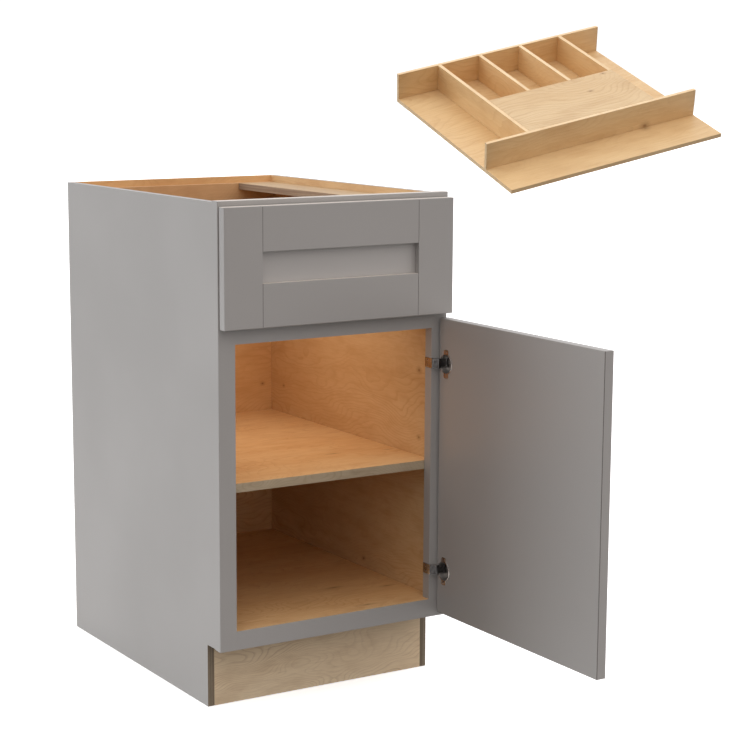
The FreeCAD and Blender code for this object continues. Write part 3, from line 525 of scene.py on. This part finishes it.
# How far a face of the arm with a painted dark reflection looks forward, and its slanted front
# both forward and left
ARM_FORWARD = 0.4
ARM_SLANT = 0.5
ARM_SLANT_AREA = 5e-5
ARM_PANEL = ((0.0022, 0), (0.0008, -0.0006), (0.0006, 0), (0.0005, 0.0005))
CUP_RING_RADIUS = 0.0171
CUP_RING_WIRE_RADIUS = 0.00055
CUP_FLOOR_RADIUS = 0.0105
CUP_FLOOR_INSIDE = 0.0009
CUP_FLOOR_THICK = 0.00035
CUP_FLOOR_PANEL = ((0.0012, 0), (0.0009, -0.0002))


def hinge_arm(name):
    # The arm's forward faces get dark nickel, a painted dark reflection on the same steel
    arm = eased(f"hinge_arm_{name}", STEEL_EDGE, nickel, [
        (lambda at, out: out.y < -ARM_FORWARD, dark_nickel_and_painted_reflection)], shortest=ARM_SHORTEST_EDGE)
    take(arm)
    # The slanted front of the goose neck gets a sunk panel with a raised middle
    pick_faces(arm, lambda at, out, area: max(out.x, out.y) < -ARM_SLANT
               and area > ARM_SLANT_AREA)
    press(ARM_PANEL)
    bpy.ops.object.mode_set(mode="OBJECT")


def hinge_cup(name):
    body = body_of[f"hinge_cup_{name}"]
    low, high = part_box(f"hinge_cup_{name}")
    middle = (low + high) / 2
    eased(f"hinge_cup_{name}", STEEL_EDGE, nickel, [
        (lambda at, out: out.x > -SQUARE, cup_nickel)], shortest=0.0)
    # A rolled ring on the flange round the mouth
    take_none()
    bpy.ops.mesh.primitive_torus_add(
        major_segments=48, minor_segments=10,
        major_radius=CUP_RING_RADIUS, minor_radius=CUP_RING_WIRE_RADIUS,
        location=(low.x, middle.y, middle.z), rotation=(0, math.radians(90), 0))
    ring = bpy.context.object
    ring.name = f"hinge_ring_{name}"
    settle(ring, nickel, body)
    # A pressed floor in the cup
    bpy.ops.mesh.primitive_circle_add(
        vertices=40, radius=CUP_FLOOR_RADIUS, fill_type="NGON",
        location=(high.x - CUP_FLOOR_INSIDE, middle.y, middle.z),
        rotation=(0, math.radians(-90), 0))
    floor_plate = bpy.context.object
    floor_plate.name = f"hinge_cup_floor_{name}"
    bpy.ops.object.mode_set(mode="EDIT")
    bpy.ops.mesh.select_all(action="SELECT")
    bpy.ops.mesh.extrude_region_move(
        TRANSFORM_OT_translate={"value": (-CUP_FLOOR_THICK, 0, 0)})
    press(CUP_FLOOR_PANEL)
    bpy.ops.object.mode_set(mode="OBJECT")
    settle(floor_plate, nickel, body)


for name in ("lower", "upper"):
    hinge_arm(name)
    hinge_cup(name)
plain(["hinge_pins"], dark_nickel_and_painted_reflection)


# Screws: modelled once for each kind, pointing down from a head at the origin, and copied

HEAD_RADIUS = 0.0031
HEAD_RIM = 0.0003
SHANK_RADIUS = 0.0016
TIP_RADIUS_SHARE = 0.35
TIP_LONG_SHARE = 1.6
CROWN = 0.00035
CROSS_REACH_SHARE = 0.56
CROSS_DEEP_SHARE = 0.4
CROSS_ARM_SHARE = 0.42
CROSS_FOOT_SHARE = 0.45
TURN_STEP = 37


def cross_cutter(reach, deep):
    """A tapered cross that sinks a driver's recess into a screw head."""
    arms = []
    for turn in (0, 90):
        bpy.ops.mesh.primitive_cube_add(size=1, rotation=(0, 0, math.radians(turn)),
                                        scale=(2 * reach, CROSS_ARM_SHARE * reach, 2 * deep))
        arm = bpy.context.object
        bpy.ops.object.transform_apply(location=True, rotation=True, scale=True)
        bpy.ops.object.mode_set(mode="EDIT")
        bpy.ops.mesh.select_all(action="DESELECT")
        bpy.ops.object.mode_set(mode="OBJECT")
        for vertex in arm.data.vertices:
            vertex.select = vertex.co.z < 0
        bpy.ops.object.mode_set(mode="EDIT")
        bpy.ops.transform.resize(value=(CROSS_FOOT_SHARE, CROSS_FOOT_SHARE, 1),
                                 center_override=(0, 0, -deep))
        bpy.ops.object.mode_set(mode="OBJECT")
        arms.append(arm)
        take_none()
    take(*arms)
    bpy.ops.object.join()
    return bpy.context.object


def screw_pattern(head_tall, long, crown=CROWN):
    """A cross-head screw: its shank, its head and a low crown, with a recess cut in."""
    take_none()
    bpy.ops.mesh.primitive_circle_add(vertices=24, radius=SHANK_RADIUS * TIP_RADIUS_SHARE,
                                      fill_type="NGON", location=(0, 0, -long))
    screw = bpy.context.object
    bpy.ops.object.transform_apply(location=True)
    bpy.ops.object.mode_set(mode="EDIT")
    bpy.ops.mesh.select_all(action="SELECT")
    # Each level is a height, and how much wider the screw is there than at the level before
    levels = [(-long + SHANK_RADIUS * TIP_LONG_SHARE, 1 / TIP_RADIUS_SHARE), (-head_tall, 1.0),
              (-HEAD_RIM, HEAD_RADIUS / SHANK_RADIUS), (0.0, 1.0),
              (crown * 0.7, 0.82), (crown, 0.5)]
    height = -long
    for level, widen in levels:
        bpy.ops.mesh.extrude_region_move(
            TRANSFORM_OT_translate={"value": (0, 0, level - height)})
        bpy.ops.transform.resize(value=(widen, widen, 1), center_override=(0, 0, level))
        height = level
    bpy.ops.mesh.select_all(action="SELECT")
    bpy.ops.mesh.normals_make_consistent(inside=False)
    bpy.ops.object.mode_set(mode="OBJECT")
    cutter = cross_cutter(HEAD_RADIUS * CROSS_REACH_SHARE, HEAD_RADIUS * CROSS_DEEP_SHARE)
    take(screw)
    cut = screw.modifiers.new("Recess", "BOOLEAN")
    cut.operation = "DIFFERENCE"
    cut.object = cutter
    cut.use_self = True
    bpy.ops.object.modifier_apply(modifier="Recess")
    bpy.data.objects.remove(cutter)
    return screw


def separate_solids(node):
    """The box of each separate solid of a CAD node."""
    whole = bpy.data.objects.new("measured", cad[node].data.copy())
    bpy.context.scene.collection.objects.link(whole)
    take(whole)
    bpy.ops.object.mode_set(mode="EDIT")
    bpy.ops.mesh.select_all(action="SELECT")
    bpy.ops.mesh.remove_doubles(threshold=MERGE)
    bpy.ops.mesh.separate(type="LOOSE")
    bpy.ops.object.mode_set(mode="OBJECT")
    boxes = []
    for part in list(bpy.context.selected_objects):
        places = [vertex.co for vertex in part.data.vertices]
        boxes.append((Vector(map(min, *places)), Vector(map(max, *places))))
        bpy.data.objects.remove(part)
    return boxes


def drive(pattern_for, node, facing, finish):
    """Puts a screw in each solid of the node, its head turned the way that facing tells."""
    screws = []
    for number, (low, high) in enumerate(separate_solids(node)):
        middle = (low + high) / 2
        way = facing(middle, high - low)
        reach = Vector([abs(step) for step in way]).dot(high - low) / 2
        screw = bpy.data.objects.new(f"{node}_{number}", pattern_for(way).data.copy())
        point = way.to_track_quat("Z", "Y").to_matrix().to_4x4()
        turn = Matrix.Rotation(math.radians(TURN_STEP * number), 4, "Z")
        screw.data.transform(Matrix.Translation(middle + way * reach) @ point @ turn)
        bpy.context.scene.collection.objects.link(screw)
        screws.append(screw)
    take(*screws)
    bpy.ops.object.join()
    screws = bpy.context.object
    screws.name = node + "_cross"
    settle(screws, finish, body_of[node], [node])


cup_screw = screw_pattern(head_tall=0.001, long=0.012)
plate_screw = screw_pattern(head_tall=0.002, long=0.012)
runner_screw = screw_pattern(head_tall=0.0012, long=0.011, crown=CROWN * 0.7)
front_screw = screw_pattern(head_tall=0.002, long=0.027)
LEFTWARD = Vector((-1, 0, 0))
RIGHTWARD = Vector((1, 0, 0))
REARWARD = Vector((0, 1, 0))
drive(lambda way: cup_screw, "hinge_cup_screws", lambda at, size: LEFTWARD, nickel)
drive(lambda way: plate_screw, "hinge_plate_screws", lambda at, size: LEFTWARD, nickel)
drive(lambda way: runner_screw, "runner_cabinet_screws",
      lambda at, size: LEFTWARD if at.x > 0 else RIGHTWARD, zinc)
drive(lambda way: front_screw if way is REARWARD else runner_screw, "drawer_screws",
      lambda at, size: REARWARD if size.y > size.x else RIGHTWARD if at.x > 0 else LEFTWARD,
      zinc)
for pattern in (cup_screw, plate_screw, runner_screw, front_screw):
    bpy.data.objects.remove(pattern)


# Bumpers: low clear domes stuck to the drawer front's back

BUMPER_ROUND_SHARE = 0.8


def bumpers(node):
    """A dome in each solid of the node, rounded over on its rear rim."""
    domes = []
    for low, high in separate_solids(node):
        middle = (low + high) / 2
        tall = high.y - low.y
        take_none()
        bpy.ops.mesh.primitive_cylinder_add(vertices=32, radius=(high.x - low.x) / 2,
                                            depth=tall, location=middle,
                                            rotation=(math.radians(-90), 0, 0))
        dome = bpy.context.object
        bpy.ops.object.transform_apply(location=True, rotation=True, scale=True)
        pick_faces(dome, lambda at, out, area: out.y > SQUARE)
        bpy.ops.mesh.bevel(offset=tall * BUMPER_ROUND_SHARE, segments=5, affect="EDGES")
        bpy.ops.object.mode_set(mode="OBJECT")
        domes.append(dome)
    take(*domes)
    bpy.ops.object.join()
    domes = bpy.context.object
    domes.name = node + "_domed"
    settle(domes, clear_plastic, body_of[node], [node])


bumpers("drawer_bumpers")


# Runners: rolled steel channels with rounded bends

BEND = 0.0005
CHANNEL_SHORTEST_EDGE = 0.02
WEB_AREA = 0.01
WEB_PANEL = ((0.006, 0), (0.0009, -0.0004))
LEVER_SIZE = (0.0014, 0.075, 0.008)
LEVER_INSIDE = 0.0022
LEVER_FROM_FRONT = 0.15
# Each stretch of the lever's tongue runs forward and outward, and changes its height
LEVER_TONGUE = ((-0.006, 0.0006, 0.8), (-0.006, 0.0010, 0.8), (-0.003, 0.0002, 1.3))
LEVER_FACE_AREA = 0.0004
LEVER_PANEL = ((0.0018, 0), (0.0005, -0.0005))
LEVER_EDGE = 0.0002


def middle_member(side, sign):
    """The middle channel, with a long shallow panel pressed into its web."""
    member = eased(f"runner_middle_member_{side}", BEND, zinc, shortest=CHANNEL_SHORTEST_EDGE)
    take(member)
    pick_faces(member, lambda at, out, area: out.x * sign > SQUARE and area > WEB_AREA)
    press(WEB_PANEL)
    bpy.ops.object.mode_set(mode="OBJECT")


def latch(side, sign):
    """The lever that frees the drawer from its runner, lying in the drawer member's channel."""
    node = f"runner_drawer_member_{side}"
    low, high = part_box(node)
    web = low.x if sign > 0 else high.x
    take_none()
    bpy.ops.mesh.primitive_cube_add(
        size=1, scale=LEVER_SIZE,
        location=(web + sign * LEVER_INSIDE, low.y + LEVER_FROM_FRONT, (low.z + high.z) / 2))
    lever = bpy.context.object
    lever.name = f"runner_latch_{side}"
    bpy.ops.object.transform_apply(location=True, rotation=True, scale=True)
    pick_faces(lever, lambda at, out, area: out.y < -SQUARE)
    for forward, outward, taper in LEVER_TONGUE:
        bpy.ops.mesh.extrude_region_move(
            TRANSFORM_OT_translate={"value": (sign * outward, forward, 0)})
        bpy.ops.transform.resize(value=(1, 1, taper))
    bpy.ops.object.mode_set(mode="OBJECT")
    pick_faces(lever, lambda at, out, area: out.x * sign > SQUARE and area > LEVER_FACE_AREA)
    press(LEVER_PANEL)
    bpy.ops.object.mode_set(mode="OBJECT")
    rounded = lever.modifiers.new("Rounded", "BEVEL")
    rounded.width = LEVER_EDGE
    rounded.segments = 2
    bpy.ops.object.modifier_apply(modifier="Rounded")
    settle(lever, dark_nickel_and_painted_reflection, body_of[node])


# Drawer box and the rest of its runners

for side in SIDES:
    eased(f"drawer_side_{side}", BOARD_EDGE, pale_deep)
eased("drawer_box_front", BOARD_EDGE, pale_across)
eased("drawer_box_back", BOARD_EDGE, pale_across)
eased("drawer_bottom", BOARD_EDGE, pale_across)
plain([node for node in cad if "_cage_" in node], zinc)
for side, sign in SIDES.items():
    for member in ("cabinet", "drawer"):
        eased(f"runner_{member}_member_{side}", BEND, zinc, shortest=CHANNEL_SHORTEST_EDGE)
    middle_member(side, sign)
    latch(side, sign)


# Insert

INSERT_EDGE = 0.0006
WALL_LEAST_TALL = 0.01
INSERT_ALONG = ("insert_base", "insert_wall_outer", "insert_wall_inset", "insert_panel",
                "insert_cross_wall")
INSERT_ACROSS = ("insert_divider_long", "insert_divider_short_1", "insert_divider_short_2",
                 "insert_divider_end")
INSERT_LOW, INSERT_BASE_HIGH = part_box("insert_base")
# The walls' top faces take the lighter maple, a painted highlight
WALL_TOPS = [(lambda at, out: out.z > SQUARE and at.z > INSERT_BASE_HIGH.z + WALL_LEAST_TALL,
              insert_top_with_painted_highlight)]
# The panel keeps the pale maple; the base and walls carry the warmer painted bounce light
insert_pieces = [
    eased(node, INSERT_EDGE, pale_deep) if node == "insert_panel"
    else eased(node, INSERT_EDGE, insert_deep_with_painted_bounce, WALL_TOPS) for node in INSERT_ALONG]
insert_pieces += [eased(node, INSERT_EDGE, insert_across_with_painted_bounce, WALL_TOPS) for node in INSERT_ACROSS]


# Stage: floor, light and camera

CAMERA_PLACE = Vector((-1.7111, -3.40506, 1.11107))
CAMERA_ANGLES = (80.331, 0.0382, -30.391)
CAMERA_LENS = 94.669
CAMERA_SHIFT = (0.09239, 0.0231)
# Where the insert would hang if it were shown at its own size
SHOWN_PLACE = Vector((-0.0348, -0.84578, 1.0397))
SHOWN_ANGLES = (12.705, 21.403, -92.042)
SHOWN_SCALE = 0.1


def in_radians(angles):
    return [math.radians(angle) for angle in angles]


def shown_insert():
    """A small likeness of the insert, hung before the camera as the photograph shows it.

    It isn't part of the object, whose own insert lies in the drawer."""
    holder = bpy.data.objects.new("shown_insert", None)
    bpy.context.scene.collection.objects.link(holder)
    for piece in insert_pieces:
        copy = bpy.data.objects.new(piece.name.replace("_eased", "_shown"), piece.data.copy())
        copy.location = -INSERT_LOW
        bpy.context.scene.collection.objects.link(copy)
        copy.parent = holder
    holder.location = CAMERA_PLACE + SHOWN_SCALE * (SHOWN_PLACE - CAMERA_PLACE)
    holder.rotation_euler = in_radians(SHOWN_ANGLES)
    holder.scale = [SHOWN_SCALE] * 3


shown_insert()

FLOOR_WIDE = 60
FLOOR_DROP = 0.0005
FLOOR_GLOW = 0.6

floor_finish = Finish("pale_floor", Roughness=0.9, Specular_IOR_Level=0.1,
                      Emission_Color=(1, 1, 1, 1), Emission_Strength=FLOOR_GLOW)
floor_finish.use("Base Color", floor_finish.blend(
    floor_finish.noise(floor_finish.place, 0.8, 1.0), srgb(250, 250, 250), srgb(248, 248, 248)))
bpy.ops.mesh.primitive_plane_add(size=FLOOR_WIDE, location=(0, 0, -FLOOR_DROP))
floor = bpy.context.object
floor.name = "floor"
floor.data.materials.append(floor_finish.material)
floor.visible_diffuse = False


LAMP_SIZE = (0.30, 0.40)
LAMP_DROP = 0.018
LAMP_SHIFT = 0.03
LAMP_POWER = 0.56
LAMP_TINT = (1.0, 0.9, 0.8)
REAR_LIGHT_POWER = 0.96
REAR_LIGHT_WIDE = 40
REAR_LIGHT_TINT = (0.97, 1.0, 1.03)
REAR_LIGHT_SIDE = Vector((-0.8, 0.6, 0.25))


def hang_light(name, kind, power, tint):
    light = bpy.data.objects.new(name, bpy.data.lights.new(name, kind))
    light.data.energy = power
    light.data.color = tint
    bpy.context.scene.collection.objects.link(light)
    return light


# A soft lamp in the top of the upper compartment, which the photograph shows lit from above
drawer_low, drawer_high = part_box("drawer_bottom")
lamp = hang_light("compartment_lamp", "AREA", LAMP_POWER, LAMP_TINT)
lamp.data.shape = "RECTANGLE"
lamp.data.size, lamp.data.size_y = LAMP_SIZE
lamp.location = (0, (drawer_low.y + drawer_high.y) / 2 + LAMP_SHIFT,
                 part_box("drawer_side_left")[0].z - LAMP_DROP)
lamp.visible_camera = False
lamp.visible_glossy = False

# A soft low light from behind on the left, which reaches the side panel and not the front
rear_light = hang_light("rear_light", "SUN", REAR_LIGHT_POWER, REAR_LIGHT_TINT)
rear_light.data.angle = math.radians(REAR_LIGHT_WIDE)
rear_light.rotation_euler = REAR_LIGHT_SIDE.to_track_quat("Z", "Y").to_euler()

# A soft dome of light, brightest above, which the camera sees as white
DOME_LEVEL = 0.5
DOME_RISE = (0.15, 0.03, 1.0)
SEEN_LEVEL = 1.1
FRONT_WAY = (-0.1, -1.0, 0.0)
TINT_REACH = 0.6
REAR_TINT = (1, 1.01, 1.03, 1)
FRONT_TINT = (1, 0.945, 0.925, 1)

world = bpy.data.worlds.new("studio")
world.use_nodes = True
studio = world.node_tree
backdrop = studio.nodes["Background"].inputs
direction = add_node(studio, "TexCoord", {})["Generated"]
rise = add_node(studio, "VectorMath", {0: direction, 1: DOME_RISE},
                operation="DOT_PRODUCT")["Value"]
level = add_node(studio, "Math", {0: rise, 1: DOME_LEVEL}, operation="ADD")[0]
glow = add_node(studio, "Math", {0: level, 1: 0.0}, operation="MAXIMUM")[0]
seen = add_node(studio, "LightPath", {})["Is Camera Ray"]
studio.links.new(add_node(studio, "Mix", {0: seen, 2: glow, 3: SEEN_LEVEL})[0],
                 backdrop["Strength"])
# The light from the front is a little warmer than the light from behind
forward = add_node(studio, "VectorMath", {0: direction, 1: FRONT_WAY},
                   operation="DOT_PRODUCT")["Value"]
warmth = add_node(studio, "MapRange", {0: forward, 1: -TINT_REACH, 2: TINT_REACH})[0]
studio.links.new(add_node(studio, "Mix", {0: warmth, 6: REAR_TINT, 7: FRONT_TINT},
                          data_type="RGBA")[2], backdrop["Color"])
bpy.context.scene.world = world
bpy.context.scene.view_settings.view_transform = "Standard"

camera = bpy.data.objects.new("camera", bpy.data.cameras.new("camera"))
camera.data.lens = CAMERA_LENS
camera.data.shift_x, camera.data.shift_y = CAMERA_SHIFT
camera.location = CAMERA_PLACE
camera.rotation_euler = in_radians(CAMERA_ANGLES)
bpy.context.scene.collection.objects.link(camera)
bpy.context.scene.camera = camera
